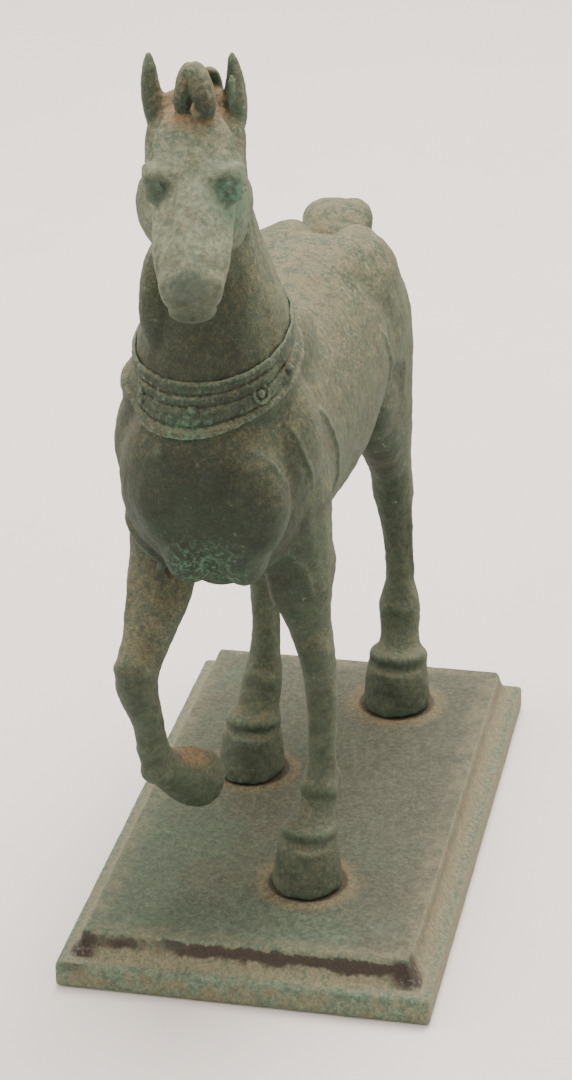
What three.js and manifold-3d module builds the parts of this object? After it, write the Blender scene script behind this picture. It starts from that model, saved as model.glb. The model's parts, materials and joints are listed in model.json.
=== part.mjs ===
// A bronze statuette of a pacing horse on a moulded plinth, in millimetres, +Z up.
// The horse faces -Y, its left side is +X, and the origin is the centre of the plinth's underside.
// It is built as a founder builds it: hollow trunk and neck castings, four limb castings and a
// tail, each with a tenon that sits in a socket and is held by a cross pin, a cast collar over
// the neck joint, and three hoof studs with washers and nuts under a hollow plinth.
import * as THREE from "three";
import { mergeVertices } from "three/addons/utils/BufferGeometryUtils.js";
import Module from "manifold-3d";

const wasm = await Module();
wasm.setup();

// ---- driving dimensions ----
const PLINTH = { length: 173, width: 100, height: 15, fascia: 7.5, inset: 6.3, wall: 4 };
const STANCE = { turn: -4.8, shift: -6.2 }; // how the horse stands on its plinth, degrees and mm
const GAP = 0.3; // clearance between two castings
const WALL = 3.2; // thickness of the hollow castings
const TENON = { radius: 3.1, length: 9 };
const PIN = { radius: 0.8, clearance: 0.25, length: 9.5 };
const STUD = { radius: 2, clearance: 0.25, foot: 5, top: 24.5 };
const WASHER = { radius: 4.6, thickness: 0.9 };
const NUT = { radius: 4.04, thickness: 3.2 };
const COLLAR = { band: 12.4, stand: 0.9, edge: 2.2, raise: 0.5 };
const HEAD_TURN = 14.5; // degrees, towards the horse's left
const HEAD_SHIFT = -1; // the poll sits a little to the right of the crest
const BIG = 400; // larger than the whole object, for cutting blocks
const ROOT = 60; // larger than any limb's root

const BRONZE = new THREE.MeshStandardMaterial({ color: 0x6f7a68, roughness: 0.75, metalness: 0.35 });
const DARK_BRONZE = new THREE.MeshStandardMaterial({ color: 0x4a4a3e, roughness: 0.6, metalness: 0.5 });
const BRASS = new THREE.MeshStandardMaterial({ color: 0x9a8148, roughness: 0.4, metalness: 0.9 });

// ---- solids ----
function solid(geometry) {
  const bare = geometry.index ? geometry.toNonIndexed() : geometry.clone();
  bare.deleteAttribute("normal");
  bare.deleteAttribute("uv");
  const merged = mergeVertices(bare, 1e-4);
  return new wasm.Manifold(
    new wasm.Mesh({
      numProp: 3,
      vertProperties: merged.attributes.position.array,
      triVerts: new Uint32Array(merged.index.array),
    }),
  );
}

function geometryOf(made) {
  const mesh = made.getMesh();
  const geometry = new THREE.BufferGeometry();
  geometry.setAttribute("position", new THREE.BufferAttribute(new Float32Array(mesh.vertProperties), 3));
  geometry.setIndex(new THREE.BufferAttribute(new Uint32Array(mesh.triVerts), 1));
  geometry.computeVertexNormals();
  return geometry;
}

const join = (...solids) => solids.reduce((all, one) => all.add(one));
const cut = (from, ...tools) => tools.reduce((left, tool) => left.subtract(tool), from);
const vec = (x, y, z) => new THREE.Vector3(x, y, z);

// ---- lofts ----
// One section of a limb. The section's plane holds the X axis and a second axis that points
// forwards at turn 0 and upwards at turn 90. wide is the half width along X, fore and aft are
// the half depths along and against the second axis, and taper widens the fore side.
function ring(x, y, z, wide, fore, aft, turn = 0, taper = 0) {
  return { x, y, z, wide, fore, aft, turn, taper };
}

function track(rings, a, b, c) {
  const points = rings.map((r) => vec(r[a], r[b], r[c]));
  return new THREE.CatmullRomCurve3(points, false, "catmullrom", 0.5);
}

// A closed skin through the rings, from a cylinder whose rows of points are laid on them.
function loft(rings, { around = 16, steps = 3, grow = 0 } = {}) {
  const along = (rings.length - 1) * steps;
  const geometry = new THREE.CylinderGeometry(1, 1, 1, around, along);
  const centre = track(rings, "x", "y", "z");
  const size = track(rings, "wide", "fore", "aft");
  const lean = track(rings, "turn", "taper", "taper");
  const position = geometry.attributes.position;
  for (let i = 0; i < position.count; i++) {
    const t = THREE.MathUtils.clamp(0.5 - position.getY(i), 0, 1);
    const [c, s, l] = [centre.getPoint(t), size.getPoint(t), lean.getPoint(t)];
    const turn = THREE.MathUtils.degToRad(l.x);
    const across = position.getX(i);
    const ahead = position.getZ(i);
    const depth = Math.max(ahead > 0 ? s.y : s.z, 0.2) + grow;
    const side = across * (Math.max(s.x, 0.2) + grow) * (1 + l.y * ahead);
    position.setXYZ(
      i,
      c.x + side,
      c.y - Math.cos(turn) * ahead * depth,
      c.z + Math.sin(turn) * ahead * depth,
    );
  }
  const made = solid(geometry);
  return made.volume() < 0 ? solid(flipped(geometry)) : made;
}

function flipped(geometry) {
  const index = geometry.index.array;
  for (let i = 0; i < index.length; i += 3) [index[i + 1], index[i + 2]] = [index[i + 2], index[i + 1]];
  return geometry;
}

// ---- plain shapes, placed ----
function ball(x, y, z, rx, ry, rz, turnX = 0, turnZ = 0, detail = 12) {
  const geometry = new THREE.SphereGeometry(1, detail + 2, detail).scale(rx, ry, rz);
  geometry.rotateX(THREE.MathUtils.degToRad(turnX)).rotateZ(THREE.MathUtils.degToRad(turnZ));
  return solid(geometry.translate(x, y, z));
}

// A round bar from one point towards another.
function bar(from, direction, length, radius, sides = 16) {
  const axis = direction.clone().normalize();
  const geometry = new THREE.CylinderGeometry(radius, radius, length, sides).translate(0, length / 2, 0);
  geometry.applyQuaternion(new THREE.Quaternion().setFromUnitVectors(vec(0, 1, 0), axis));
  return solid(geometry.translate(from.x, from.y, from.z));
}

// A block on the side of a plane that its normal points to, its face moved on by offset.
function beyond(plane, offset = 0, size = BIG) {
  const geometry = new THREE.BoxGeometry(size, size, size).translate(0, 0, size / 2 + offset);
  geometry.applyQuaternion(new THREE.Quaternion().setFromUnitVectors(vec(0, 0, 1), plane.normal));
  return solid(geometry.translate(plane.point.x, plane.point.y, plane.point.z));
}

const planeAt = (point, normal) => ({ point, normal: normal.normalize() });
const back = (plane) => ({ point: plane.point, normal: plane.normal.clone().negate() });

// ---- limbs ----
// Hooves: the coronet is narrower than the sole, and the toe runs forwards.
const SOLE = PLINTH.height + GAP;

function plantedFoot(x, y, wide) {
  return [
    ring(x + 0.6, y + 2.6, SOLE + 15, wide * 0.66, 6.2, 6.4, 22),
    ring(x + 0.4, y + 1.4, SOLE + 11, wide * 0.74, 7, 6.8, 16),
    ring(x + 0.2, y, SOLE + 8, wide * 0.84, 8.4, 7.6, 10),
    ring(x, y - 0.8, SOLE + 4, wide * 0.94, 9.6, 8.4, 5),
    ring(x, y - 1.2, SOLE, wide, 10.6, 9, 0),
  ];
}

const LEFT_FORE = {
  rings: [
    ring(12, -45, 150, 8, 13, 13),
    ring(14.6, -44, 138, 11, 18, 17),
    ring(16, -42, 124, 10.6, 16, 14),
    ring(16, -39.5, 112, 10, 11.4, 10),
    ring(17.2, -38.5, 101.5, 8.6, 8.6, 7.6),
    ring(19, -38, 90.5, 6.4, 6.4, 5.6),
    ring(21.2, -38, 82, 5.2, 6, 5),
    ring(22, -37.8, 74, 4.6, 5, 4.8),
    ring(22.3, -37.2, 62, 4.1, 3.8, 4.6),
    ring(22.1, -37, 50, 3.9, 3.8, 4.8),
    ring(21.6, -37, 42, 4.8, 4.8, 6.2),
    ring(21.4, -39, 35.5, 5.2, 5, 5.6, 26),
    ...plantedFoot(20.2, -45, 9.8),
  ],
  joint: planeAt(vec(16.6, -39.4, 109), vec(-0.14, -0.1, 1)),
};

const RIGHT_FORE = {
  rings: [
    ring(-12, -46, 150, 8, 13, 13),
    ring(-14.6, -46, 138, 10.6, 17, 17, 4),
    ring(-15.6, -47, 124, 9.6, 15, 14, 16),
    ring(-15.6, -50, 113, 9, 11, 10.6, 34),
    ring(-14.8, -57, 105, 8.8, 8.6, 9, 50),
    ring(-14.6, -66, 97.6, 6.9, 6.2, 7, 52),
    ring(-15.2, -73, 91.4, 6, 5.6, 6.2, 34),
    ring(-15.7, -75, 85.4, 5.6, 6, 5.4, 4),
    ring(-15.1, -72.6, 78, 4.5, 4.8, 4.8, -16),
    ring(-15.2, -69, 69.6, 3.7, 3.9, 4.4, -20),
    ring(-15.4, -66, 62.4, 4.1, 4.4, 5.2, -26),
    ring(-15, -62.6, 57, 4.5, 4.8, 4.6, -44),
    ring(-13.2, -57.6, 52, 6.2, 6.8, 5.2, -62),
    ring(-10.8, -52, 48, 7.4, 9, 6.4, -70),
    ring(-8.8, -47.2, 45.6, 7.9, 10, 7, -72),
    ring(-8.5, -46.4, 45.4, 7.2, 9.2, 6.2, -72),
  ],
  joint: planeAt(vec(-15.5, -51, 110.5), vec(0, 0.55, 1)),
};

const LEFT_HIND = {
  rings: [
    ring(9, 44, 154, 9, 13, 13),
    ring(11.8, 47, 143, 11.4, 19, 19),
    ring(13.4, 48.6, 131, 10.4, 21, 20),
    ring(14.4, 50, 118, 9.2, 18, 15),
    ring(14.4, 54.5, 106, 8.6, 13, 10.6, -8),
    ring(14, 60.5, 96, 7, 8.8, 8.4, -16),
    ring(13.8, 66, 87.4, 6.1, 6.6, 7.8, -16),
    ring(13.8, 68, 80, 6.4, 6.4, 6.6, -4),
    ring(14.4, 67.8, 73, 5.3, 5.2, 5.6, 4),
    ring(15.8, 66.6, 63, 4.3, 4, 4.8, 6),
    ring(16.4, 65.4, 53, 4.3, 4, 4.8, 6),
    ring(16.8, 64.6, 45, 6.4, 5.2, 6.6, 8),
    ring(17.2, 62.6, 37.5, 6, 5.2, 5.6, 26),
    ...plantedFoot(17.8, 57.5, 9.6),
  ],
  joint: planeAt(vec(15.2, 53.6, 108), vec(-0.03, -0.3, 1)),
};

const RIGHT_HIND = {
  rings: [
    ring(-9, 43, 154, 9, 13, 13),
    ring(-11.8, 44, 143, 11.4, 19, 19),
    ring(-13.4, 41.6, 131, 10.4, 21, 20, 4),
    ring(-14.4, 37.5, 118, 9.2, 17, 16, 14),
    ring(-14.6, 33, 106, 7.8, 12.6, 11.6, 12),
    ring(-13.6, 29.6, 96, 6, 8.8, 8.6, 8),
    ring(-12.8, 27.2, 87.4, 5.3, 6.6, 7.8, 8),
    ring(-12.6, 25.6, 80, 5.6, 6.4, 6.8, 8),
    ring(-12.4, 23.8, 72, 4.6, 5.2, 5.6, 10),
    ring(-11.6, 21.2, 62, 4.1, 4, 4.8, 12),
    ring(-10.8, 18.6, 52, 4.1, 4, 4.8, 12),
    ring(-10.9, 16.4, 43, 5.6, 5, 6.2, 12),
    ring(-11.4, 13.8, 36, 6.2, 5.4, 6, 26),
    ...plantedFoot(-12.3, 9, 9.5),
  ],
  joint: planeAt(vec(-14.7, 34, 108), vec(0.08, 0.25, 1)),
};

// The tail stands away from the croup, turns over to the right and falls clear of the hocks.
const TAIL = {
  rings: [
    ring(-1, 57, 146, 6, 5, 6, 52),
    ring(-3, 63, 153.6, 8, 5.4, 7, 62),
    ring(-4.2, 69.6, 158.2, 9.6, 5.6, 7, 74),
    ring(-4.8, 76.4, 159.8, 10.4, 5.4, 6.4, 94),
    ring(-6, 82.6, 157.2, 10.4, 5.2, 6, 122),
    ring(-7.6, 87, 149.6, 9.9, 5.2, 6, 154),
    ring(-8.8, 88.8, 138, 9, 5, 5.6, 174),
    ring(-9.4, 88.4, 125, 8, 4.8, 5, 184),
    ring(-9.4, 86.6, 111, 6.8, 4.2, 4.2, 190),
    ring(-8.8, 84.4, 98, 4.8, 3.2, 3.2, 194),
    ring(-8, 82.6, 88.6, 2.4, 1.9, 1.9, 194),
    ring(-7.8, 82, 86, 0.6, 0.6, 0.6, 194),
  ],
  joint: planeAt(vec(-3.9, 68, 157.4), vec(0.05, -0.9, -0.42)),
};

// ---- trunk, neck, head ----
const TRUNK_RINGS = [
  ring(0, -78.6, 142, 3, 5, 6, 90),
  ring(0, -76.4, 142, 12, 13, 15, 90, -0.04),
  ring(0, -70.6, 141.4, 18.6, 22, 23, 90, -0.06),
  ring(0, -62, 140, 22.4, 27, 28.4, 90, -0.08),
  ring(0, -50, 138.4, 24.4, 31, 32.4, 90, -0.1),
  ring(0, -36, 138, 24.8, 33.6, 34, 90, -0.1),
  ring(0, -20, 138, 24.4, 33.6, 35, 90, -0.08),
  ring(0, -2, 137, 25, 30.6, 34.6, 90, -0.06),
  ring(0, 14, 138, 25.2, 31.6, 34, 90, -0.04),
  ring(0, 30, 140, 23.8, 30.4, 31, 90, 0),
  ring(0, 44, 140, 21.6, 26.6, 28, 90, 0.02),
  ring(0, 57, 139, 18.8, 21.4, 24, 90, 0.02),
  ring(0, 68, 137, 14, 16, 19, 90, 0),
  ring(0, 75, 134.6, 8, 9, 12, 90),
  ring(0, 77.6, 134, 2, 3, 3, 90),
];

const NECK_RINGS = [
  ring(0, -40, 136, 17, 26, 22, -8),
  ring(0, -47, 151, 19, 27.6, 26, -16),
  ring(0.1, -50, 164, 20.9, 25, 26, -18, 0.02),
  ring(0.4, -53, 177, 18.5, 20.6, 24, -18, 0.04),
  ring(0.6, -55.4, 190, 15, 16.4, 20.6, -14, 0.06),
  ring(0.5, -57, 203, 11.9, 13, 16.6, -6, 0.04),
  ring(0.6, -57.6, 214, 10.6, 11.4, 13, 4, 0.02),
  ring(0.8, -57, 225, 9.6, 10.4, 9.6, 16),
  ring(0.8, -55.6, 233, 7, 6.6, 5.6, 28),
];

// The head is laid down the line of its face, from forehead to nostrils, and then turned.
const FACE_LEAN = 45; // degrees from upright
const FACE_TOP = vec(0, -62, 236.8);

// down is the way along the face line; brow and jaw are the depths before and behind the ring.
function faceRing(down, wide, brow, jaw, taper = 0) {
  const lean = THREE.MathUtils.degToRad(FACE_LEAN);
  const along = vec(0, -Math.sin(lean), -Math.cos(lean)).multiplyScalar(down);
  const inward = vec(0, Math.cos(lean), -Math.sin(lean)).multiplyScalar(brow);
  const c = FACE_TOP.clone().add(along).add(inward);
  return ring(c.x, c.y, c.z, wide, brow, jaw, FACE_LEAN, taper);
}

const HEAD_RINGS = [
  faceRing(-4.6, 4.6, 3.4, 5),
  faceRing(-2.6, 9, 4.6, 8.6),
  faceRing(2.4, 11.4, 5.8, 11.4),
  faceRing(8, 12.2, 6.6, 13.4),
  faceRing(14, 12, 7, 15),
  faceRing(20, 10.6, 7, 15.4),
  faceRing(26, 9.4, 6.6, 12.8, -0.04),
  faceRing(32, 8, 6, 9.4, -0.02),
  faceRing(38, 7, 5.6, 6.8),
  faceRing(43, 7.1, 5.4, 6.8),
  ring(0, -90.4, 199.8, 7.2, 6.4, 7, 56),
  ring(0, -92, 198, 6.2, 5.6, 5.8, 62),
  ring(0, -92.6, 197.6, 4, 3.4, 3.4, 62),
];

function aboutPoll(shape) {
  const y = -57;
  return shape.translate([HEAD_SHIFT, -y, 0]).rotate([0, 0, HEAD_TURN]).translate([0, y, 0]);
}

// An ear is a leaf with a hollow front. The left one leans in a little more at its tip.
function ear(side) {
  const lean = side > 0 ? 0.8 : -0.4;
  const leaf = loft(
    [
      ring(side * 8.8, -57.4, 227, 2.6, 2.6, 2.6),
      ring(side * 9.8, -58, 232.4, 2.6, 2.7, 2.6),
      ring(side * (10.3 - lean / 2), -58.4, 237.4, 2.5, 2.3, 2.2),
      ring(side * (10.2 - lean), -58.8, 242.4, 2, 1.8, 1.7),
      ring(side * (10.1 - lean * 1.4), -59.2, 246, 1.4, 1.2, 1.2),
      ring(side * (10.1 - lean * 1.6), -59.4, 248.2, 0.6, 0.5, 0.5),
    ],
    { around: 12, steps: 2 },
  );
  const hollow = ball(side * (9.4 - lean / 2), -60.8, 239, 1.5, 2.1, 6, 4, side * 10, 8);
  return cut(leaf, hollow);
}

// The forelock is tied into a tuft that stands up between the ears, on a peg.
function forelockShape(grow = 0) {
  const tuft = loft(
    [
      ring(1.4, -64.2, 235.6, 3.8, 2.6, 3),
      ring(1.4, -64, 238.6, 4, 3.2, 3.2),
      ring(0.9, -63.4, 242, 3.6, 3.2, 3),
      ring(0.5, -62.4, 245.4, 2.8, 2.4, 2.4),
      ring(0.3, -62, 247, 1.1, 1, 1),
    ],
    { around: 12, steps: 2, grow },
  );
  const lock = ball(-0.6, -65.6, 239.6, 1.8 + grow, 2 + grow, 4.2 + grow, 0, 0, 8);
  const peg = bar(vec(1.3, -63.2, 237), vec(-0.1, 0.5, -0.8), 8 + grow, 1.4 + grow, 12);
  return join(tuft, lock, peg);
}

// The clipped mane: a crest along the top of the neck, rising to a tuft behind the forelock.
const MANE_RINGS = [
  ring(2.6, -56.6, 243.6, 1.2, 1.2, 1.2, 20),
  ring(2.6, -56, 241.6, 2.4, 2.6, 2.6, 20),
  ring(2.2, -53, 236.6, 2.6, 3.4, 3.4, 16),
  ring(1.6, -47.4, 230, 2.3, 4, 3.4, 0),
  ring(0.8, -40.6, 216, 2.2, 4.6, 3.4, -14),
  ring(0.2, -34.4, 200, 2.2, 4.8, 3.4, -18),
  ring(0, -29, 186, 2.1, 4.8, 3.4, -20),
  ring(0, -26, 178, 2, 4.6, 3, -22),
];

// The plane of the neck joint lies across the neck, half way up the collar.
const NECK_JOINT = planeAt(vec(0, -49, 170.4), vec(-0.06, -0.31, 1));

const LIMBS = {
  left_foreleg: LEFT_FORE,
  right_foreleg: RIGHT_FORE,
  left_hindleg: LEFT_HIND,
  right_hindleg: RIGHT_HIND,
  tail: TAIL,
};

function neckShape(grow = 0) {
  return loft(NECK_RINGS, { around: 18, steps: 2, grow });
}

function headShape() {
  const skull = loft(HEAD_RINGS, { around: 16, steps: 2 });
  const orbits = [-1, 1].map((side) => ball(side * 9, -73, 222, 3.4, 4, 3.4, 0, 0, 8));
  const cheeks = [-1, 1].map((side) => ball(side * 7.2 - 0.5, -64.4, 212.4, 7, 8, 10.4, -35, 0, 12));
  const nostrils = [-1, 1].map((side) => ball(side * 5, -90, 201.6, 2.9, 3.4, 3.6, 0, 0, 8));
  return aboutPoll(join(skull, ...orbits, ...cheeks, ...nostrils, ear(-1), ear(1)));
}

// The body's outside without its limbs below the joints.
function trunkShape(grow = 0) {
  const barrel = loft(TRUNK_RINGS, { around: 24, steps: 2, grow });
  const shoulders = [-1, 1].map((side) =>
    ball(side * 14.6, -50, 142, 11.2 + grow, 15 + grow, 20 + grow, -14, side * 4, 10),
  );
  const rump = [-1, 1].map((side) =>
    ball(side * 11, 36, 150, 12.4 + grow, 22 + grow, 20 + grow, 12, side * -5, 10),
  );
  const breast = [-1, 1].map((side) =>
    ball(side * 8.2, -67, 137, 9 + grow, 10 + grow, 16 + grow, 8, 0, 10),
  );
  const roots = Object.values(LIMBS).map((limb) => {
    const whole = loft(limb.rings.slice(0, 6), { around: 14, steps: 2, grow });
    return whole.intersect(beyond(limb.joint, GAP / 2 - grow));
  });
  return join(barrel, ...shoulders, ...breast, ...rump, ...roots);
}

// The limb below its joint, with the part that the trunk has to leave free when grown.
function limbShape(limb, grow = 0) {
  const whole = loft(limb.rings, { around: 14, steps: 2, grow });
  return whole.subtract(beyond(limb.joint, grow - GAP / 2, ROOT));
}

// A square tenon's place: its root lies a little inside the limb and it points into the trunk.
function tenonShape(joint, grow = 0) {
  const root = joint.point.clone().addScaledVector(joint.normal, -2);
  return bar(root, joint.normal, TENON.length + 2 + grow, TENON.radius + grow);
}

// A cross pin passes sideways through the trunk and the tenon, its outer end below the skin.
function pinAt(joint, radius, depth, from) {
  const centre = joint.point.clone().addScaledVector(joint.normal, TENON.length * 0.55);
  const side = Math.sign(joint.point.x) || 1;
  return bar(centre.clone().setX(centre.x + side * from), vec(-side, 0, 0), depth, radius, 12);
}

// The pin's hole is open to the outside and ends half a millimetre past the pin.
const PIN_REACH = 5.2; // from the tenon's axis to the pin's outer end
const pinHole = (joint) => pinAt(joint, PIN.radius + PIN.clearance, PIN.length + 10.5, PIN_REACH + 10);

// ---- the castings ----
function hollowOf(rings, thickness, from, to, options) {
  const inner = rings.slice(from, to).map((r) => ({
    ...r,
    wide: Math.max(r.wide - thickness, 0.6),
    fore: Math.max(r.fore - thickness, 0.6),
    aft: Math.max(r.aft - thickness, 0.6),
  }));
  return loft(inner, options);
}

const SLEEVE = { radius: 11.5, wall: 2.2, depth: 9 };

function sleeveBar(radius, from, length) {
  const start = NECK_JOINT.point.clone().addScaledVector(NECK_JOINT.normal, from);
  return bar(start, NECK_JOINT.normal, length, radius, 28);
}

function trunkCasting() {
  const stump = neckShape().intersect(beyond(back(NECK_JOINT), GAP / 2));
  const outside = join(trunkShape().intersect(beyond(back(NECK_JOINT), GAP / 2)), stump);
  const hollow = hollowOf(TRUNK_RINGS, 6.5, 2, 13, { around: 14, steps: 1 });
  const mouth = sleeveBar(SLEEVE.radius + GAP, -SLEEVE.depth - 16, SLEEVE.depth + 30);
  const room = Object.values(LIMBS).flatMap((limb) => [
    limbShape(limb, GAP),
    tenonShape(limb.joint, GAP),
    pinHole(limb.joint),
  ]);
  const sleevePins = [-1, 1].map((side) => neckPin(side, PIN.radius + PIN.clearance, 12));
  return cut(outside, hollow, mouth, ...room, ...sleevePins);
}

function neckPin(side, radius, length) {
  const centre = NECK_JOINT.point.clone().addScaledVector(NECK_JOINT.normal, -SLEEVE.depth * 0.55);
  const inner = centre.clone().setX(side * (SLEEVE.radius - SLEEVE.wall - 0.6));
  return bar(inner, vec(side, 0, 0), length, radius, 12);
}

function neckAndHeadCasting() {
  const aboveCollar = beyond(NECK_JOINT, COLLAR.band / 2 + 2 * GAP);
  const mane = loft(MANE_RINGS, { around: 8, steps: 2 }).intersect(aboveCollar);
  const skin = join(neckShape().intersect(beyond(NECK_JOINT, GAP / 2)), mane, headShape());
  const sleeve = sleeveBar(SLEEVE.radius, -SLEEVE.depth, SLEEVE.depth + 3);
  const core = sleeveBar(SLEEVE.radius - SLEEVE.wall, -SLEEVE.depth - 1, SLEEVE.depth + 13);
  const hollow = hollowOf(NECK_RINGS, WALL + 2, 3, 7, { around: 14, steps: 2 });
  const pins = [-1, 1].map((side) => neckPin(side, PIN.radius + PIN.clearance, 12));
  return cut(join(skin, sleeve), core, hollow, forelockShape(GAP), ...pins);
}

// Small round bosses along the front of the collar.
const BOSSES = [
  vec(-13.4, -68.7, 162.8),
  vec(1.2, -73.7, 162.5),
  vec(16.6, -65.2, 165.1),
  vec(20.9, -55.6, 168.2),
];

// The collar is a strap with raised edges and bosses, cast as a ring over the neck joint.
function collarCasting() {
  const half = COLLAR.band / 2;
  const body = (grow) => join(neckShape(grow), trunkShape(grow));
  const slab = (from, to) => {
    return beyond(NECK_JOINT, from).intersect(beyond(back(NECK_JOINT), -to));
  };
  const strap = body(COLLAR.stand).intersect(slab(-half, half));
  const { stand, edge, raise } = COLLAR;
  const edges = [-half, half - edge].map((at) => body(stand + raise).intersect(slab(at, at + edge)));
  const bosses = BOSSES.map((p) => ball(p.x, p.y, p.z, 1.4, 1.4, 1.4, 0, 0, 8));
  return cut(join(strap, ...edges, ...bosses), body(GAP));
}

function limbCasting(name) {
  const limb = LIMBS[name];
  const tools = [pinHole(limb.joint)];
  if (PLANTED.includes(name)) tools.push(studBar(limb, STUD.clearance, 0.6));
  const shape = join(limbShape(limb), tenonShape(limb.joint));
  return cut(name === "tail" ? join(shape, tailRidge()) : shape, ...tools);
}

// The hair is fullest along the left of the arch.
function tailRidge(grow = 0) {
  return ball(-0.6, 77, 160, 5.6 + grow, 8 + grow, 5.6 + grow, 0, 0, 8);
}

// ---- plinth and fixings ----
const footOf = (limb) => limb.rings[limb.rings.length - 2];
const stance = new THREE.Matrix4()
  .makeRotationZ(THREE.MathUtils.degToRad(STANCE.turn))
  .setPosition(STANCE.shift, 0, 0);

function footOnPlinth(limb) {
  const foot = footOf(limb);
  return vec(foot.x, foot.y, 0).applyMatrix4(stance);
}

// In the horse's own frame, so that the hoof's hole and the stud share one axis.
function studBar(limb, grow, deeper) {
  const foot = footOf(limb);
  return bar(vec(foot.x, foot.y, STUD.foot), vec(0, 0, 1), STUD.top - STUD.foot + deeper, STUD.radius + grow);
}

// A moulding round a rectangle: a four-sided lathe whose corners are moved out to the plinth's.
function plinthBlock(profile) {
  const widest = Math.max(...profile.map((p) => p.x));
  const geometry = new THREE.LatheGeometry(profile, 4, Math.PI / 4);
  const position = geometry.attributes.position;
  for (let i = 0; i < position.count; i++) {
    const [x, up, y] = [position.getX(i), position.getY(i), -position.getZ(i)];
    const radius = Math.hypot(x, y);
    const inset = widest - radius;
    const onAxis = radius < 1e-6;
    position.setXYZ(
      i,
      onAxis ? 0 : Math.sign(x) * (PLINTH.width / 2 - inset),
      onAxis ? 0 : Math.sign(y) * (PLINTH.length / 2 - inset),
      up,
    );
  }
  const made = solid(geometry);
  return made.volume() < 0 ? solid(flipped(geometry)) : made;
}

function plinthProfile() {
  const { height, fascia, inset } = PLINTH;
  const edge = 20; // any radius wider than the inset
  const lip = 1.9; // the top slab's upright edge
  const points = [new THREE.Vector2(0, 0), new THREE.Vector2(edge - 0.5, 0), new THREE.Vector2(edge, 0.6)];
  points.push(new THREE.Vector2(edge, fascia - 0.8), new THREE.Vector2(edge - 0.7, fascia));
  const cove = 5;
  const run = inset - 1.6;
  const rise = height - lip - fascia;
  for (let i = 0; i <= cove; i++) {
    const turn = (i / cove) * (Math.PI / 2);
    points.push(new THREE.Vector2(edge - 1.2 - run * Math.sin(turn), fascia + rise * (1 - Math.cos(turn))));
  }
  points.push(new THREE.Vector2(edge - inset, height - lip + 0.1));
  points.push(new THREE.Vector2(edge - inset, height - 0.5));
  points.push(new THREE.Vector2(edge - inset - 0.5, height), new THREE.Vector2(0, height));
  return points;
}

function plinthCasting() {
  const { length, width, height, inset, wall } = PLINTH;
  const side = 2 * (inset + wall);
  const below = 1; // the recess is cut from a little under the plinth
  const room = new THREE.BoxGeometry(width - side, length - side, height - wall + below);
  const underside = solid(room.translate(0, 0, (height - wall - below) / 2));
  const holes = PLANTED.map((name) => {
    const at = footOnPlinth(LIMBS[name]);
    return bar(vec(at.x, at.y, -1), vec(0, 0, 1), height + 2, STUD.radius + STUD.clearance);
  });
  return cut(plinthBlock(plinthProfile()), underside, ...holes);
}

function washerGeometry() {
  const [inner, outer, t] = [STUD.radius + STUD.clearance, WASHER.radius, WASHER.thickness];
  const section = [
    [inner, 0],
    [outer, 0],
    [outer, t],
    [inner, t],
    [inner, 0],
  ].map(([r, h]) => new THREE.Vector2(r, h));
  return new THREE.LatheGeometry(section, 24).rotateX(Math.PI / 2);
}

function nutSolid() {
  const hex = new THREE.CylinderGeometry(NUT.radius, NUT.radius, NUT.thickness, 6).rotateX(Math.PI / 2);
  const bore = bar(vec(0, 0, -NUT.thickness), vec(0, 0, 1), NUT.thickness * 2, STUD.radius + STUD.clearance);
  return cut(solid(hex), bore);
}

// ---- the assembly ----
const PLANTED = ["left_foreleg", "left_hindleg", "right_hindleg"];
const statuette = new THREE.Group();
const horse = new THREE.Group();
horse.applyMatrix4(stance);
statuette.add(horse);

function place(parent, name, shape, material, z = 0) {
  const geometry = shape.isBufferGeometry ? shape : geometryOf(shape);
  const mesh = new THREE.Mesh(geometry, material);
  mesh.name = name;
  mesh.position.z = z;
  parent.add(mesh);
  return mesh;
}

place(statuette, "plinth", plinthCasting(), BRONZE);
place(horse, "trunk", trunkCasting(), BRONZE);
place(horse, "neck_and_head", neckAndHeadCasting(), BRONZE);
place(horse, "collar", collarCasting(), DARK_BRONZE);
place(horse, "forelock", forelockShape(), BRONZE);
for (const side of [-1, 1]) {
  place(horse, side < 0 ? "right_neck_pin" : "left_neck_pin", neckPin(side, PIN.radius, 6), BRASS);
}

for (const [name, limb] of Object.entries(LIMBS)) {
  const planted = PLANTED.includes(name);
  place(horse, name, limbCasting(name), BRONZE);
  place(horse, `${name}_pin`, pinAt(limb.joint, PIN.radius, PIN.length, PIN_REACH), BRASS);
  if (!planted) continue;
  place(horse, `${name}_stud`, studBar(limb, 0, 0), BRASS);
  const under = PLINTH.height - PLINTH.wall;
  const at = footOnPlinth(limb);
  const washer = place(statuette, `${name}_washer`, washerGeometry(), BRASS, under - GAP - WASHER.thickness);
  washer.position.setX(at.x).setY(at.y);
  const nutTop = under - 2 * GAP - WASHER.thickness;
  const nut = place(statuette, `${name}_nut`, nutSolid(), BRASS, nutTop - NUT.thickness / 2);
  nut.position.setX(at.x).setY(at.y);
}

// The origin is the centre of the underside of the whole object's box.
const box = new THREE.Box3().setFromObject(statuette);
statuette.position.y -= (box.min.y + box.max.y) / 2;

export default statuette;
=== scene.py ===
import json
import math

import bpy
import numpy as np
from mathutils import Matrix, Vector

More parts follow.
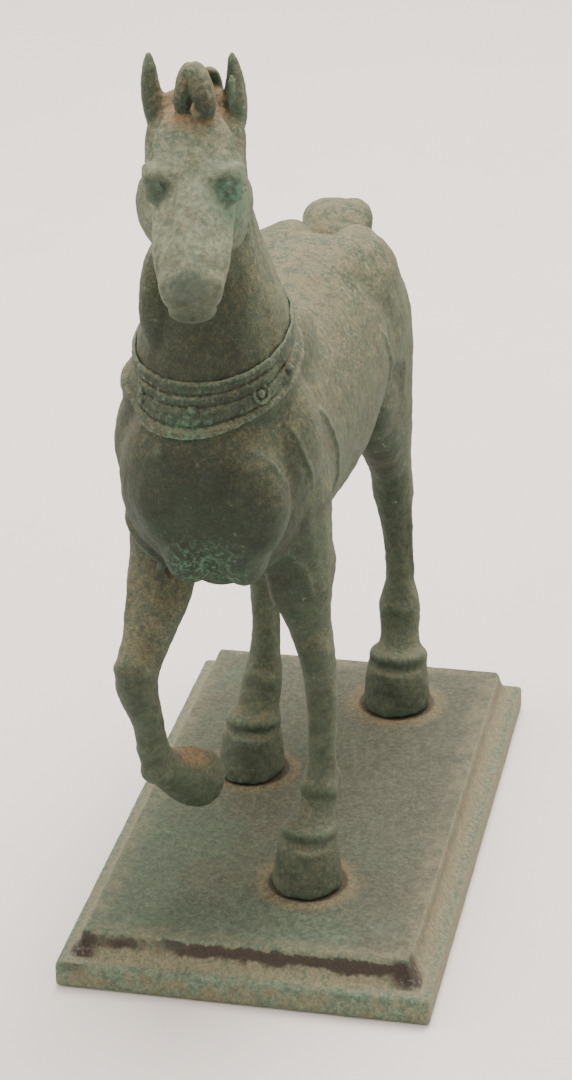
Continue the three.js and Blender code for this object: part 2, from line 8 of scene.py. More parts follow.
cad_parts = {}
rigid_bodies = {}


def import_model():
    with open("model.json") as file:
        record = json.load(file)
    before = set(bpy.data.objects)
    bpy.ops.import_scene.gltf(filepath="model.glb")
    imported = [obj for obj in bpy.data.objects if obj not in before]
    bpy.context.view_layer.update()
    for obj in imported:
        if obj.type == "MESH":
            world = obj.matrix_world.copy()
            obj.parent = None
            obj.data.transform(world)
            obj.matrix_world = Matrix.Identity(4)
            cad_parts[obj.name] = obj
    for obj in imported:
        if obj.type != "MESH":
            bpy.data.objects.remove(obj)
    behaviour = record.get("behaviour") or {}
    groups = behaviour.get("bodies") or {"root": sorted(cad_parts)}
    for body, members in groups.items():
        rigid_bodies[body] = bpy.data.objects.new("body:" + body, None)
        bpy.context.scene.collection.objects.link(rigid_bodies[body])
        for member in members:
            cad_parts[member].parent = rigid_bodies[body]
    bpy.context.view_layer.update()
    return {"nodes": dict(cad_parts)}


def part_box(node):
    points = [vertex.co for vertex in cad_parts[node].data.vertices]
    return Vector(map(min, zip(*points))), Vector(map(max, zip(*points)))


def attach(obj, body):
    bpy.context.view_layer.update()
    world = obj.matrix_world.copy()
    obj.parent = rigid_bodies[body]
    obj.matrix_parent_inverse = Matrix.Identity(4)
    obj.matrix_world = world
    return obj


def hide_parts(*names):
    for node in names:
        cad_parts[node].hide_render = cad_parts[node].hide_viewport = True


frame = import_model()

nodes = frame["nodes"]
MM = 0.001
MERGE = 0.01 * MM

# ---- where the horse stands ----
# The horse is modelled straight, facing -Y with its left at +X, and each finished piece is then
# set askew on the plinth as its castings are. Places and sizes below are in millimetres.
plinth_low, plinth_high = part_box("plinth")
PLINTH_Y = (plinth_low.y + plinth_high.y) / 2
STAND = Matrix.Translation((-6.2 * MM, PLINTH_Y, 0)) @ Matrix.Rotation(math.radians(-4.8), 4, "Z")
UNSTAND = STAND.inverted()
HEAD_TURN = (
    Matrix.Translation((0, -57 * MM, 0))
    @ Matrix.Rotation(math.radians(14.5), 4, "Z")
    @ Matrix.Translation((-1 * MM, 57 * MM, 0))
)
NECK_POINT = Vector((0, -49, 170.4)) * MM
NECK_AXIS = Vector((-0.06, -0.31, 1)).normalized()


# ---- handling objects ----
def only(*objects):
    bpy.ops.object.select_all(action="DESELECT")
    for o in objects:
        o.select_set(True)
    bpy.context.view_layer.objects.active = objects[0]


def apply_place(o):
    only(o)
    bpy.ops.object.transform_apply(location=True, rotation=True, scale=True)


def joined(name, parts):
    only(*parts)
    if len(parts) > 1:
        bpy.ops.object.join()
    o = bpy.context.view_layer.objects.active
    o.name = name
    o.data.name = name
    apply_place(o)
    return o


def edit(o):
    only(o)
    bpy.ops.object.mode_set(mode="EDIT")
    bpy.ops.mesh.select_mode(type="VERT")


def done():
    bpy.ops.object.mode_set(mode="OBJECT")


def copy_of(node, place=UNSTAND):
    """A merged copy of a casting, by default set straight in the horse's own frame."""
    mesh = nodes[node].data.copy()
    o = bpy.data.objects.new(node + "_copy", mesh)
    bpy.context.scene.collection.objects.link(o)
    mesh.transform(place)
    mesh.materials.clear()
    edit(o)
    bpy.ops.mesh.select_all(action="SELECT")
    bpy.ops.mesh.remove_doubles(threshold=MERGE)
    done()
    return o


def modify(o, kind, **settings):
    only(o)
    m = o.modifiers.new(kind.title(), kind)
    for key, value in settings.items():
        setattr(m, key, value)
    bpy.ops.object.modifier_apply(modifier=m.name)


def remesh(o, voxel):
    modify(o, "REMESH", mode="VOXEL", voxel_size=voxel * MM, use_smooth_shade=True)


def smooth(o, rounds, factor=0.5):
    modify(o, "SMOOTH", iterations=rounds, factor=factor)


def places(o):
    """The vertices' places in millimetres."""
    flat = np.empty(len(o.data.vertices) * 3, dtype=np.float32)
    o.data.vertices.foreach_get("co", flat)
    return flat.reshape(-1, 3) / MM


def pick(o, chosen):
    """Select exactly the vertices that an array of truths names."""
    mesh = o.data
    mesh.polygons.foreach_set("select", np.zeros(len(mesh.polygons), dtype=bool))
    mesh.edges.foreach_set("select", np.zeros(len(mesh.edges), dtype=bool))
    mesh.vertices.foreach_set("select", np.asarray(chosen, dtype=bool))


def outer_shell(o):
    """Delete everything that isn't joined to the highest point of the skin."""
    at = places(o)
    pick(o, np.arange(len(at)) == int(at[:, 2].argmax()))
    edit(o)
    bpy.ops.mesh.select_linked()
    bpy.ops.mesh.select_all(action="INVERT")
    bpy.ops.mesh.delete(type="VERT")
    done()


# ---- clay ----
PATH_STEPS = 5


def ball(place, size, turn=(0, 0, 0), side=1, detail=20):
    """A ball of clay: its place and half sizes in mm, its turn in degrees."""
    x, y, z = place
    bpy.ops.mesh.primitive_uv_sphere_add(
        segments=detail,
        ring_count=detail * 2 // 3,
        radius=1,
        location=(side * x * MM, y * MM, z * MM),
        rotation=(math.radians(turn[0]), side * math.radians(turn[1]), side * math.radians(turn[2])),
        scale=[s * MM for s in size],
    )
    return bpy.context.object


def pair(place, size, turn=(0, 0, 0)):
    """A ball on each side of the horse."""
    return [ball(place, size, turn, side) for side in (1, -1)]


def strand(points, radii, side=1):
    """A lock of hair or a ridge: a tube through points in mm, with a radius in mm at each."""
    curve = bpy.data.curves.new("lock", "CURVE")
    curve.dimensions = "3D"
    curve.resolution_u = 6
    curve.bevel_depth = 1.0
    curve.bevel_resolution = 3
    curve.use_fill_caps = True
    spline = curve.splines.new("BEZIER")
    spline.bezier_points.add(len(points) - 1)
    for knot, place, radius in zip(spline.bezier_points, points, radii):
        knot.co = [place[0] * side * MM, place[1] * MM, place[2] * MM]
        knot.radius = radius * MM
        knot.handle_left_type = knot.handle_right_type = "AUTO"
    o = bpy.data.objects.new("lock", curve)
    bpy.context.scene.collection.objects.link(o)
    only(o)
    bpy.ops.object.convert(target="MESH")
    return bpy.context.object


def strands(points, radii):
    """A strand on each side of the horse."""
    return [strand(points, radii, side) for side in (1, -1)]


def hoop(place, major, minor, turn=(0, 0, 0), stretch=(1, 1, 1)):
    """A ring, with its large and small radius in mm."""
    bpy.ops.mesh.primitive_torus_add(
        major_segments=40,
        minor_segments=8,
        major_radius=major * MM,
        minor_radius=minor * MM,
        location=[c * MM for c in place],
        rotation=[math.radians(t) for t in turn],
    )
    o = bpy.context.object
    o.scale = stretch
    return o


def stump(place, wide, top, long, height, turn=(0, 0, 0)):
    """A hoof's block: half widths below and above, half length front to back, and height."""
    bpy.ops.mesh.primitive_cone_add(
        vertices=40,
        radius1=1,
        radius2=top / wide,
        depth=height * MM,
        location=[c * MM for c in place],
        rotation=[math.radians(t) for t in turn],
    )
    o = bpy.context.object
    o.scale = (wide * MM, long * MM, 1)
    return o


def on_skin(o, points, out):
    """A finer path laid on an object's surface, or so far out of it in mm."""
    laid = []
    for a, b in zip(points, points[1:]):
        for i in range(PATH_STEPS):
            laid.append(Vector(a).lerp(Vector(b), i / PATH_STEPS))
    laid.append(Vector(points[-1]))
    result = []
    for p in laid:
        _, place, normal, _ = o.closest_point_on_mesh(p * MM)
        result.append((place + normal * out * MM) / MM)
    return result


def swelling(laid, thin, thick):
    """A strand that is thickest half way along its path."""
    last = len(laid) - 1
    return strand(laid, [thin + thick * math.sin(math.pi * i / last) ** 0.7 for i in range(last + 1)])


def furrow(o, points, deepest):
    """A cutter for a furrow in the skin."""
    return swelling(on_skin(o, points, 0.1), 0.25, deepest)


def ridge(o, points, highest):
    """A fold that stands out of the skin."""
    return swelling(on_skin(o, points, -0.45 * highest), 0.3, highest)


def carve(o, cutters):
    """Cut shapes out of a skin."""
    cutter = joined("cutter", cutters)
    remesh(cutter, 0.3)
    modify(o, "BOOLEAN", operation="DIFFERENCE", object=cutter, solver="FAST")
    bpy.data.objects.remove(cutter)


def roughen(o, *layers):
    """Uneven cast skin: clouds of a size in mm, each so strong in mm."""
    for size, strength in layers:
        clouds = bpy.data.textures.new("cast_skin", "CLOUDS")
        clouds.noise_scale = size * MM
        clouds.noise_depth = 2
        modify(
            o, "DISPLACE", texture=clouds, texture_coords="LOCAL", strength=strength * MM, mid_level=0.5
        )


# ---- the body: trunk, legs and tail ----
BODY_CASTINGS = ("trunk", "left_foreleg", "right_foreleg", "left_hindleg", "right_hindleg", "tail")
BODY_PINS = ("left_foreleg_pin", "right_foreleg_pin", "left_hindleg_pin", "right_hindleg_pin", "tail_pin")
# Each planted hoof's place on the ground, and its half width at the sole and at the coronet.
HOOVES = {
    "left_foreleg": ((20.3, -45.6), 9.8, 7.9),
    "left_hindleg": ((17.9, 57), 10.2, 8.9),
    "right_hindleg": ((-12.2, 8.6), 9.7, 8.3),
}


def plugs():
    """Clay that closes the cross pins' holes and the neck's mouth before the skin is worked."""
    clay = []
    for name in BODY_PINS:
        low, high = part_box(name)
        x, y, z = (UNSTAND @ ((low + high) / 2)) / MM
        side = 1 if x > 0 else -1
        clay.append(ball((x + side * 5.2, y, z), (3, 1.7, 1.7)))
    clay.append(ball((0, -47, 163), (17, 20, 5), (17, 0, 0)))
    return clay


def trunk_clay():
    """Shoulders, breast and belly, and then croup, thighs and buttocks."""
    clay = [
        ball((-16.8, -50, 143), (10.4, 13, 17)),
        ball((-14, -50, 157), (10.2, 14, 12)),
        ball((17, -50, 144), (9.4, 14, 19), (-10, 0, 0)),
        ball((-6, -71, 138), (9.6, 8, 15), (4, 0, 0)),
        ball((15, -68.4, 138), (9, 8.6, 15), (4, 0, -14)),
        ball((-2, -69, 124), (7, 8, 11), (14, 0, 0)),
        ball((11, -67, 124), (7, 8, 11), (14, 0, -8)),
        ball((-21.4, -44, 129), (5.2, 10, 12), (10, 0, 0)),
        ball((21, -42, 130), (5, 10, 14), (12, 0, 0)),
        ball((2, -52, 115), (11, 14, 7)),
    ]
    clay += pair((12.6, -30, 160), (6, 16, 13), (10, 0, 0))
    clay += pair((9.5, 32, 157), (9, 26, 13.4), (6, 0, 0))
    clay += pair((15.6, 42, 140), (8.4, 20, 18), (0, 0, -4))
    clay += pair((10.5, 60, 140), (8, 12, 18), (10, 0, 0))
    clay.append(ball((16.6, 40, 122), (6.2, 9, 15), (14, 0, 0)))
    clay.append(ball((-16.6, 26, 121), (6.2, 9, 15), (22, 0, 0)))
    return clay


def foreleg_clay():
    """Forearm, knee and fetlock: first the left leg's, then the bent right one's."""
    return [
        ball((16.6, -43, 106), (6.8, 6.4, 13), (6, 8, 0)),
        ball((20.4, -36, 104), (5.6, 5.2, 12), (-6, 8, 0)),
        ball((21.4, -41.8, 84), (4.7, 3, 4.8)),
        ball((21.4, -33.6, 86.6), (2.4, 2.8, 3.6)),
        ball((21.8, -33.4, 41), (4.8, 3.4, 4.6)),
        ball((21.8, -39.6, 41), (5.7, 3.6, 4.2)),
        ball((-15.3, -77, 90.4), (6, 3.4, 5), (20, 0, 0)),
        ball((-15.6, -72, 84), (5.2, 3.4, 3.4)),
        ball((-15.4, -62.6, 58), (4.4, 3, 4), (-34, 0, 0)),
        ball((-14.6, -65, 54.6), (4.8, 3.4, 3.6), (-34, 0, 0)),
    ]


def hindleg_clay():
    """Hock and fetlock."""
    clay = []
    for x, y in ((14, 0), (-12.8, -41)):
        clay += [
            ball((x, 73.4 + y, 84.6), (3.1, 2.7, 4.2)),
            ball((x, 64.4 + y, 80), (4.8, 3.2, 6)),
        ]
    clay += [
        ball((16.9, 69.4, 44.4), (4.2, 2.9, 3.8)),
        ball((16.8, 61.8, 43.6), (5.6, 3.4, 4.2)),
        ball((-10.9, 21.2, 42), (4.2, 2.9, 3.8)),
        ball((-10.9, 13.2, 41.8), (5.6, 3.4, 4.2)),
    ]
    return clay


def hoof_clay():
    """Walls that flare to the ground, heels, and the skin's lip over the coronet."""
    clay = []
    for (x, y), sole, top in HOOVES.values():
        clay += [
            stump((x, y, 21.9), sole, top, 10, 13, (-3, 0, 0)),
            hoop((x + 0.2, y + 1.6, 31), top - 2, 2.1, (-10, 0, 0)),
            ball((x + 2.8, y + 8.6, 21), (3.2, 3, 4.6)),
            ball((x - 2.8, y + 8.6, 21), (3.2, 3, 4.6)),
        ]
    return clay


# Furrows in the skin: each path, and how deep it is cut. The breast's furrow lies a little to the left.
FURROWS = (
    ([(3.6, -78, 153), (5, -80, 140), (5.2, -78, 128), (4, -73, 113)], 1.7),
    ([(-15, -74, 150), (-16, -74, 138), (-14.4, -72, 126), (-8, -70, 116)], 1.1),
    ([(22, -68, 150), (23, -66, 140), (20, -67, 128), (13, -67, 117)], 0.7),
    ([(-27, -58, 128), (-22, -66, 122), (-15, -69, 118), (-9, -62, 109)], 1.7),
    ([(26, -57, 124), (23, -60, 117), (17, -60, 111), (10, -56, 108)], 1.2),
    ([(2, -76, 124), (-2, -75, 118), (-5, -71, 112)], 1),
    ([(8, -76, 126), (12, -74, 118), (14, -68, 112)], 0.9),
    ([(28, -38, 156), (28, -31, 142), (26, -26, 126), (22, -30, 114)], 0.7),
    ([(-28, -38, 156), (-28, -31, 142), (-26, -26, 126), (-22, -30, 114)], 0.7),
    ([(24, -62, 158), (27, -58, 146), (27, -52, 134)], 0.5),
    ([(0, 22, 174), (0, 40, 175), (-0.6, 56, 168)], 1.1),
    ([(27, 20, 152), (27, 27, 138), (24, 28, 122)], 0.7),
    ([(-27, 18, 152), (-27, 21, 138), (-24, 16, 122)], 0.7),
    ([(23, 52, 134), (21, 56, 120), (19, 60, 108)], 0.6),
    ([(-23, 46, 134), (-21, 42, 120), (-20, 38, 108)], 0.6),
    ([(27, -36, 82), (26, -36, 66), (26, -35.6, 50)], 0.6),
    ([(17, -36, 82), (18, -36, 66), (18, -35.6, 50)], 0.6),
    ([(-20, -70, 82), (-20, -67, 70), (-20, -64, 60)], 0.6),
    ([(-10, -70, 82), (-11, -67, 70), (-11, -64, 60)], 0.6),
    ([(19, 67, 78), (20, 66, 64), (20, 66, 50)], 0.6),
    ([(-8, 23, 76), (-7, 21, 62), (-7, 19, 48)], 0.6),
    ([(-20, -60, 62), (-16, -58, 60.4), (-11, -57, 59)], 0.7),
)
# Folds on the skin: each path, and how high it stands.
FOLDS = (
    ([(-8, -76, 154), (-5, -77, 149)], 1.5),
    ([(14, -72, 155), (18, -70, 148), (19, -68, 140)], 0.5),
    ([(20, -58, 118), (22, -48, 108), (23, -44, 96)], 1.1),
    ([(-22, -58, 112), (-21, -66, 104), (-20, -72, 96)], 1.1),
    ([(-17, -56, 56.6), (-13, -51, 55.4), (-8, -48, 54), (-4, -47, 50)], 0.8),
)


def body_cuts(body):
    """Furrows, the raised hoof's hollow and the grooves under the coronets."""
    cuts = [furrow(body, path, deepest) for path, deepest in FURROWS]
    cuts.append(ball((-9.8, -52, 57.6), (4.6, 4.4, 2.4), (-20, 0, 0)))
    for (x, y), _, top in HOOVES.values():
        cuts.append(hoop((x + 0.1, y + 0.9, 28.4), top + 0.3, 0.95, (-10, 0, 0)))
    return cuts


def body_folds(body):
    """Folds of the skin and locks of the tail."""
    folds = [ridge(body, path, highest) for path, highest in FOLDS]
    for x in (-7, -3.4, 0.4, 4):
        path = [(x - 6.4, 91, 155), (x - 7.4, 96, 146), (x * 0.9 - 8.6, 97, 126), (x * 0.6 - 8.6, 92, 104)]
        folds.append(ridge(body, path, 0.55))
    return folds


def make_body():
    """One skin over the trunk, the legs and the tail."""
    clay = [copy_of(name) for name in BODY_CASTINGS]
    clay += plugs() + trunk_clay() + foreleg_clay() + hindleg_clay() + hoof_clay()
    body = joined("body_clay", clay)
    remesh(body, 0.9)
    outer_shell(body)
    smooth(body, 7)
    remesh(body, 0.6)
    carve(body, body_cuts(body))
    body = joined("body_clay", [body] + body_folds(body))
    remesh(body, 0.67)
    smooth(body, 3, 0.45)
    return body


# ---- neck and head ----
FACE_SLOPE = 0.7071


def face(down):
    """A place on the line of the face, so many mm down from the forehead."""
    fall = FACE_SLOPE * down
    return (0, -62 - fall, 236.8 - fall)


def neck_clay():
    return [
        copy_of("neck_and_head"),
        ball((0, -45.5, 161), (9.6, 9.6, 4), (17, 0, 0)),
        ball((-9, -62, 188), (6, 8, 15), (-18, 0, 0)),
        ball((9.6, -60, 186), (6, 8, 16), (-18, 0, 0)),
    ]


def face_clay():
    """Forehead and bridge, brows, the sides of the nose, jaw, and then the muzzle."""
    clay = [ball(face(12), (10, 11, 1.6), (45, 0, 0)), ball(face(31), (4, 15, 1.1), (45, 0, 0))]
    clay += strands(
        [(5, -76, 222.2), (8, -75, 223.8), (10.6, -72.6, 223.8), (11.4, -69.4, 222.6)],
        (0.9, 1.5, 1.5, 1),
    )
    clay += strands(
        [(6.8, -76, 214.4), (6.4, -80.6, 209.8), (6.2, -85, 205.8), (5.4, -87.6, 201)],
        (3, 3.2, 3, 2.6),
    )
    clay += pair((7.9, -66, 211.6), (4.9, 8.4, 10.2), (-35, 0, 0))
    clay += [
        ball((0, -86.5, 206.5), (7.4, 6, 5), (45, 0, 0)),
        ball((0, -90.2, 203.6), (6.6, 4, 3), (30, 0, 0)),
        ball((0, -89.4, 198.4), (7, 4, 5)),
        ball((0, -87.2, 194), (5.8, 4.4, 3)),
    ]
    clay += strands(
        [(5, -92.4, 203), (6.9, -90.8, 202.4), (7.2, -89, 199.6), (6.4, -89.4, 196.6)],
        (0.4, 0.5, 0.6, 0.5),
    )
    return clay


def ear_clay():
    """The ears are filled out before their hollows are cut. The left one leans in, the right one out."""
    clay = []
    for side, lean in ((1, 0.9), (-1, -0.4)):
        path = [(7.6, -59, 229), (9.2 - lean / 3, -59.4, 234), (10.2 - lean, -59.6, 240.4)]
        path.append((10.1 - lean * 1.5, -59.6, 246.8))
        clay.append(strand(path, (3.3, 3.3, 2.3, 0.9), side))
    return clay


def head_cuts():
    """Hollows: eye sockets, nostrils, the mouth, the nose end, the ears and two pits by the left eye."""
    cuts = [ball((s * 9.2, -76.8, 219.2), (3.7, 3.2, 2.7), (25, 0, s * 22)) for s in (1, -1)]
    cuts += [ball((s * 5.2, -94.8, 200.2), (1.7, 2.2, 2.2), (0, 0, 24 * s)) for s in (1, -1)]
    cuts += [ball((0, -96.2, 201), (5.2, 2.6, 1.7)), hoop((0, -88, 195.2), 6.9, 0.62, (18, 0, 0))]
    cuts += [ball((s * 8.6, -62.6, 238.4), (1, 1.1, 5.4), (2, 4 * s, -20 * s)) for s in (1, -1)]
    cuts += [ball((6.5, -80.4, 217.4), (0.6, 1.4, 0.6)), ball((7.4, -81.6, 215.4), (0.5, 1.4, 0.5))]
    return cuts


THROAT_FURROWS = (
    ([(-10, -74, 190), (-13.6, -72, 182), (-16, -70, 172)], 1),
    ([(12, -72, 190), (15, -70, 182), (18, -67, 172)], 1),
    ([(-13, -62, 202), (-15, -58, 190), (-18, -52, 178)], 0.7),
    ([(12, -66, 210), (13, -60, 204), (12, -56, 214)], 0.6),
)


def mane_nicks(count=18):
    """Nicks across the clipped crest."""
    nicks = []
    for i in range(count):
        t = i / (count - 1)
        place = (1.8 - 1.8 * t, -48.6 + 28 * t**0.8, 241.5 - 58 * t)
        nicks.append(ball(place, (3.6, 2.6, 0.45), (-40 + 20 * t, 0, 0), detail=12))
    return nicks


def eye_clay():
    """Eyeballs with an upper and a lower lid."""
    clay = [ball((s * 9, -74.4, 219.2), (2.3, 2.2, 2), (0, 0, s * 20)) for s in (1, -1)]
    clay += strands(
        [(6, -77, 218.4), (8, -77, 220.8), (10.6, -75.6, 221.2), (12.4, -72.6, 219.6)],
        (0.4, 0.7, 0.7, 0.4),
    )
    clay += strands(
        [(6, -77, 218), (8.2, -77, 216.9), (10.8, -75.2, 217), (12.4, -72.6, 218.6)],
        (0.4, 0.6, 0.55, 0.4),
    )
    return clay


def turned(name, parts):
    """Parts of the head, joined and turned with it on the neck."""
    o = joined(name, parts)
    o.data.transform(HEAD_TURN)
    return o


def make_head():
    clay = neck_clay()
    head = joined("neck_and_head_skin", clay + [turned("head_stock", face_clay() + ear_clay())])
    remesh(head, 0.55)
    outer_shell(head)
    smooth(head, 5)
    cuts = [turned("cut_stock", head_cuts())]
    cuts += [furrow(head, path, deepest) for path, deepest in THROAT_FURROWS]
    carve(head, cuts + mane_nicks())
    remesh(head, 0.42)
    smooth(head, 2)
    head = joined("neck_and_head_skin", [head, turned("eye_stock", eye_clay())])
    remesh(head, 0.49)
    smooth(head, 2, 0.4)
    return head


# ---- forelock: locks tied together, with a hollow between them ----
# Each lock's path, and its radius at each point of it.
LOCKS = (
    ([(4, -65.6, 234.6), (4.2, -66, 237.6), (3, -65.4, 241), (1.6, -64.2, 244), (0.4, -62.6, 245)],
     (2.3, 2.8, 3.1, 2.8, 2)),
    ([(-1.8, -65.4, 235), (-1.6, -65.8, 238), (-0.9, -65.2, 241.4), (-0.2, -64, 244), (0.4, -62.6, 245)],
     (1.7, 2, 2.4, 2.4, 2)),
    ([(1.2, -62.4, 233.4), (1, -62.6, 238), (0.6, -62.6, 242), (0.4, -62.2, 244.8)], (4, 3.8, 3, 2)),
    ([(4.6, -66.4, 236.4), (3, -67.6, 235.2), (2, -67.4, 236.6), (2.6, -67.2, 237.8)], (1.3, 1.2, 1, 0.6)),
)


def make_forelock():
    locks = [strand(path, radii) for path, radii in LOCKS]
    locks.append(ball((1, -64.6, 239.8), (2.8, 2, 4.8)))
    forelock = joined("forelock_locks", locks)
    remesh(forelock, 0.35)
    smooth(forelock, 3)
    return forelock


# ---- the collar: a strap laid round the neck, with ridges, a panel and bosses ----
STRAP_ROWS = 34
STRAP_HEIGHT = 12.8
STRAP_WALL = 1.3
# Bands between two heights on the strap, and how far each is swelled. Bands that overlap add up.
RIDGES = (
    (-7, 7, 0.35), (5, 6.1, 0.3), (3.4, 6, 0.35), (3.9, 5.5, 0.3), (-6.1, -4.1, 0.35), (-5.9, -4.5, 0.35),
    (-5.6, -4.9, 0.25), (-7, -6.2, -0.5), (6.25, 7, -0.4),
)
PANEL = (-15, 18.6)
PANEL_BANDS = ((-3.6, 2.7, 0.3), (-3.3, 2.4, 0.25), (2.75, 3.3, -0.3), (-4.05, -3.7, -0.3))
KEEPER = (20, 30)
ROSETTE = (16.2, -65.4, 165.1)
# Each boss's place and radius.
BOSSES = (
    ((-13.5, -68.6, 164), 0.9), ((-13.3, -68.9, 161.6), 0.9), ((1.2, -73.7, 162.5), 1.2),
    (ROSETTE, 1.1), ((20.9, -55.6, 168.2), 1.3),
)


def strap():
    """A ring of rows round the neck, well clear of it."""
    step = STRAP_HEIGHT / (STRAP_ROWS - 1)
    bpy.ops.mesh.primitive_circle_add(
        vertices=144,
        radius=34 * MM,
        location=NECK_POINT - NECK_AXIS * STRAP_HEIGHT / 2 * MM,
        rotation=NECK_AXIS.to_track_quat("Z", "Y").to_euler(),
    )
    o = bpy.context.object
    o.name = "collar_strap"
    edit(o)
    bpy.ops.mesh.select_all(action="SELECT")
    for _ in range(STRAP_ROWS - 1):
        bpy.ops.mesh.extrude_region_move(TRANSFORM_OT_translate={"value": NECK_AXIS * step * MM})
    bpy.ops.mesh.select_all(action="SELECT")
    bpy.ops.mesh.normals_make_consistent(inside=False)
    done()
    apply_place(o)
    return o


def lay_on_neck(strap_object, body, head):
    """Draw the strap in until it lies on the skin of the body and the neck."""
    skins = []
    for skin in (body, head):
        o = bpy.data.objects.new("wrap", skin.data.copy())
        bpy.context.scene.collection.objects.link(o)
        skins.append(o)
    wrap = joined("wrap", skins)
    modify(
        strap_object, "SHRINKWRAP", target=wrap, wrap_method="PROJECT", use_negative_direction=True,
        use_positive_direction=False,
    )
    bpy.data.objects.remove(wrap)


def raise_rows(o, low, high, out, within=None):
    """Swell the rows between two heights, all round or only between two sides in front."""
    at_points = places(o)
    heights = (at_points - np.array(NECK_POINT) / MM) @ np.array(NECK_AXIS)
    chosen = (heights > low) & (heights < high)
    if within:
        left, right = within
        chosen &= (at_points[:, 0] > left) & (at_points[:, 0] < right) & (at_points[:, 1] < -54)
    pick(o, chosen)
    edit(o)
    bpy.ops.transform.shrink_fatten(value=out * MM)
    done()


def collar_bosses(collar):
    """Bosses on the strap, one of them with a ring round it."""
    bosses = []
    for place, size in BOSSES:
        _, seat, normal, _ = collar.closest_point_on_mesh(Vector(place) * MM)
        bosses.append(ball(seat / MM, (size, size, size), detail=14))
        if place == ROSETTE:
            tip = normal.to_track_quat("Z", "Y").to_euler()
            bosses.append(hoop(seat / MM, 2.1, 0.45, [math.degrees(a) for a in tip]))
    return bosses


def make_collar(body, head):
    collar = strap()
    lay_on_neck(collar, body, head)
    smooth(collar, 8, 0.5)
    for low, high, out in RIDGES:
        raise_rows(collar, low, high, out)
    for low, high, out in PANEL_BANDS:
        raise_rows(collar, low, high, out, PANEL)
    raise_rows(collar, -3.4, 2.6, 0.4, KEEPER)
    smooth(collar, 1, 0.35)
    modify(collar, "SOLIDIFY", thickness=STRAP_WALL * MM, offset=-1)
    modify(collar, "SUBSURF", levels=1, render_levels=1)
    collar = joined("collar_strap", [collar] + collar_bosses(collar))
    remesh(collar, 0.3)
    smooth(collar, 1, 0.4)
    collar.data.transform(STAND)
    roughen(collar, (2.4, 0.5), (0.9, 0.22))
    return collar


# ---- the plinth ----
def at(x, y, z, turn=Matrix.Identity(4)):
    """A place on the horse, in mm, as the finished pieces have it."""
    return STAND @ turn @ (Vector((x, y, z)) * MM) / MM


def make_plinth():
    """The casting, with low mounds of dirt round the hooves and one grain of it on top."""
    clay = [copy_of("plinth", Matrix.Identity(4))]
    for (x, y), sole, _ in HOOVES.values():
        mound_x, mound_y, _ = at(x, y, 0)
        clay.append(hoop((mound_x, mound_y, 14.9), sole + 1.2, 1.3, (0, 0, 0), (1, 1.04, 0.34)))
    clay.append(ball(at(-3.4, -49.6, 15), (1.1, 0.8, 1.3), (0, 30, 20), detail=10))
    plinth = joined("plinth_block", clay)
    remesh(plinth, 0.74)
    smooth(plinth, 1, 0.3)
    roughen(plinth, (9, 0.2), (2.4, 0.14))
    return plinth


# ---- the body's skin is parted, so that each casting has its own ----
# For each limb: a place on its parting, the parting's direction, a reach round it, and the limb's tip.
JOINTS = {
    "left_foreleg": ((17.4, -40, 103), (-0.14, -0.1, 1), 16, (20, -46, 16)),
    "right_foreleg": ((-15.8, -55, 104), (0, 0.45, 1), 16, (-12, -46, 38)),
    "left_hindleg": ((15.4, 55, 104), (-0.03, -0.3, 1), 19, (18, 57, 16)),
    "right_hindleg": ((-14.4, 33, 103), (0.08, 0.25, 1), 19, (-12, 8, 16)),
    "tail": ((-3.9, 68, 157.4), (0.05, -0.9, -0.42), 15, (-9, 92, 90)),
}
LARGEST_LIMB = 0.4


def part_at(o, name, point, normal, reach, tip):
    """Cut a limb off and close both ends. The limb stays on if the cut would take too much."""
    pick(o, np.linalg.norm(places(o) - np.array(point), axis=1) < reach)
    edit(o)
    bpy.ops.mesh.bisect(plane_co=Vector(point) * MM, plane_no=Vector(normal))
    bpy.ops.mesh.mark_seam()
    done()
    distance = np.linalg.norm(places(o) - np.array(tip), axis=1)
    pick(o, np.arange(len(distance)) == distance.argmin())
    edit(o)
    bpy.ops.mesh.select_linked(delimit={"SEAM"})
    done()
    chosen = np.zeros(len(o.data.vertices), dtype=bool)
    o.data.vertices.foreach_get("select", chosen)
    if chosen.mean() > LARGEST_LIMB:
        return None
    before = set(bpy.data.objects)
    edit(o)
    bpy.ops.mesh.separate(type="SELECTED")
    done()
    limb = (set(bpy.data.objects) - before).pop()
    limb.name = limb.data.name = name
    for piece in (o, limb):
        close_end(piece)
    return limb


def close_end(o):
    """Fill an open end and keep its rim sharp."""
    pick(o, np.zeros(len(o.data.vertices)))
    edit(o)
    bpy.ops.mesh.select_non_manifold(
        use_wire=False, use_multi_face=False, use_non_contiguous=False, use_verts=False
    )
    bpy.ops.mesh.edge_face_add()
    bpy.ops.mesh.mark_sharp()
    done()


body = make_body()
head = make_head()
forelock = make_forelock()
collar = make_collar(body, head)
plinth = make_plinth()
roughen(body, (7, 0.7), (2, 0.32))
roughen(head, (5, 0.4), (1.6, 0.22))
roughen(forelock, (1.4, 0.25))
limbs = {name: part_at(body, name + "_skin", *joint) for name, joint in JOINTS.items()}
limbs = {name: o for name, o in limbs.items() if o}
body.name = body.data.name = "trunk_skin"
for o in (body, head, forelock, *limbs.values()):
    o.data.transform(STAND)


# ---- finishes ----
def tint(r, g, b):
    """A colour from its screen values, 0 to 255."""
    return [((c / 255 + 0.055) / 1.055) ** 2.4 for c in (r, g, b)] + [1]


def grey(level):
    return (level, level, level, 1)


